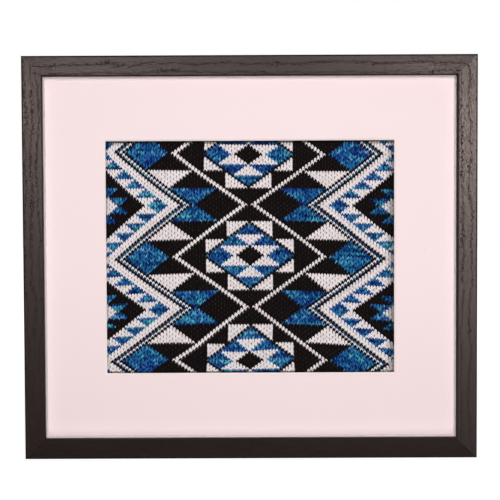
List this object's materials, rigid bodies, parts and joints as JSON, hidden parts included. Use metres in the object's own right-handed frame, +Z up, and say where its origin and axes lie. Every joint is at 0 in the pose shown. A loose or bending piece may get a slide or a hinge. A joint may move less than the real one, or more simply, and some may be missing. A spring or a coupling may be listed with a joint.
{
  "type": "knitted taniko panel in a mitred picture frame",
  "caption": "Flat colourwork knitted panel with a taniko pattern of diamonds, triangles and zigzags, set behind a white mat in a black-stained mitred wooden frame",
  "frame": {"origin": "middle of the top rail's back face, where the frame meets the wall", "axes": "+X to the right seen from the front, +Y into the wall, +Z up; the panel faces -Y"},
  "size_m": [0.45, 0.03, 0.4],
  "materials": {
    "stained_wood": "open-pored wood stained black, satin",
    "fillet_white": "matt white paint",
    "mat_board": null,
    "knitted_yarn": "plied yarn in black, white and mottled blue, stocking stitch",
    "backing_board": "plain pressed board, raw"
  },
  "bodies": {
    "root": {"rail_top": "stained_wood", "rail_bottom": "stained_wood", "rail_left": "stained_wood", "rail_right": "stained_wood", "fillet_top": "fillet_white", "fillet_bottom": "fillet_white", "fillet_left": "fillet_white", "fillet_right": "fillet_white", "mat": "mat_board", "knit": "knitted_yarn", "backing": "backing_board"}
  },
  "joints": []
}
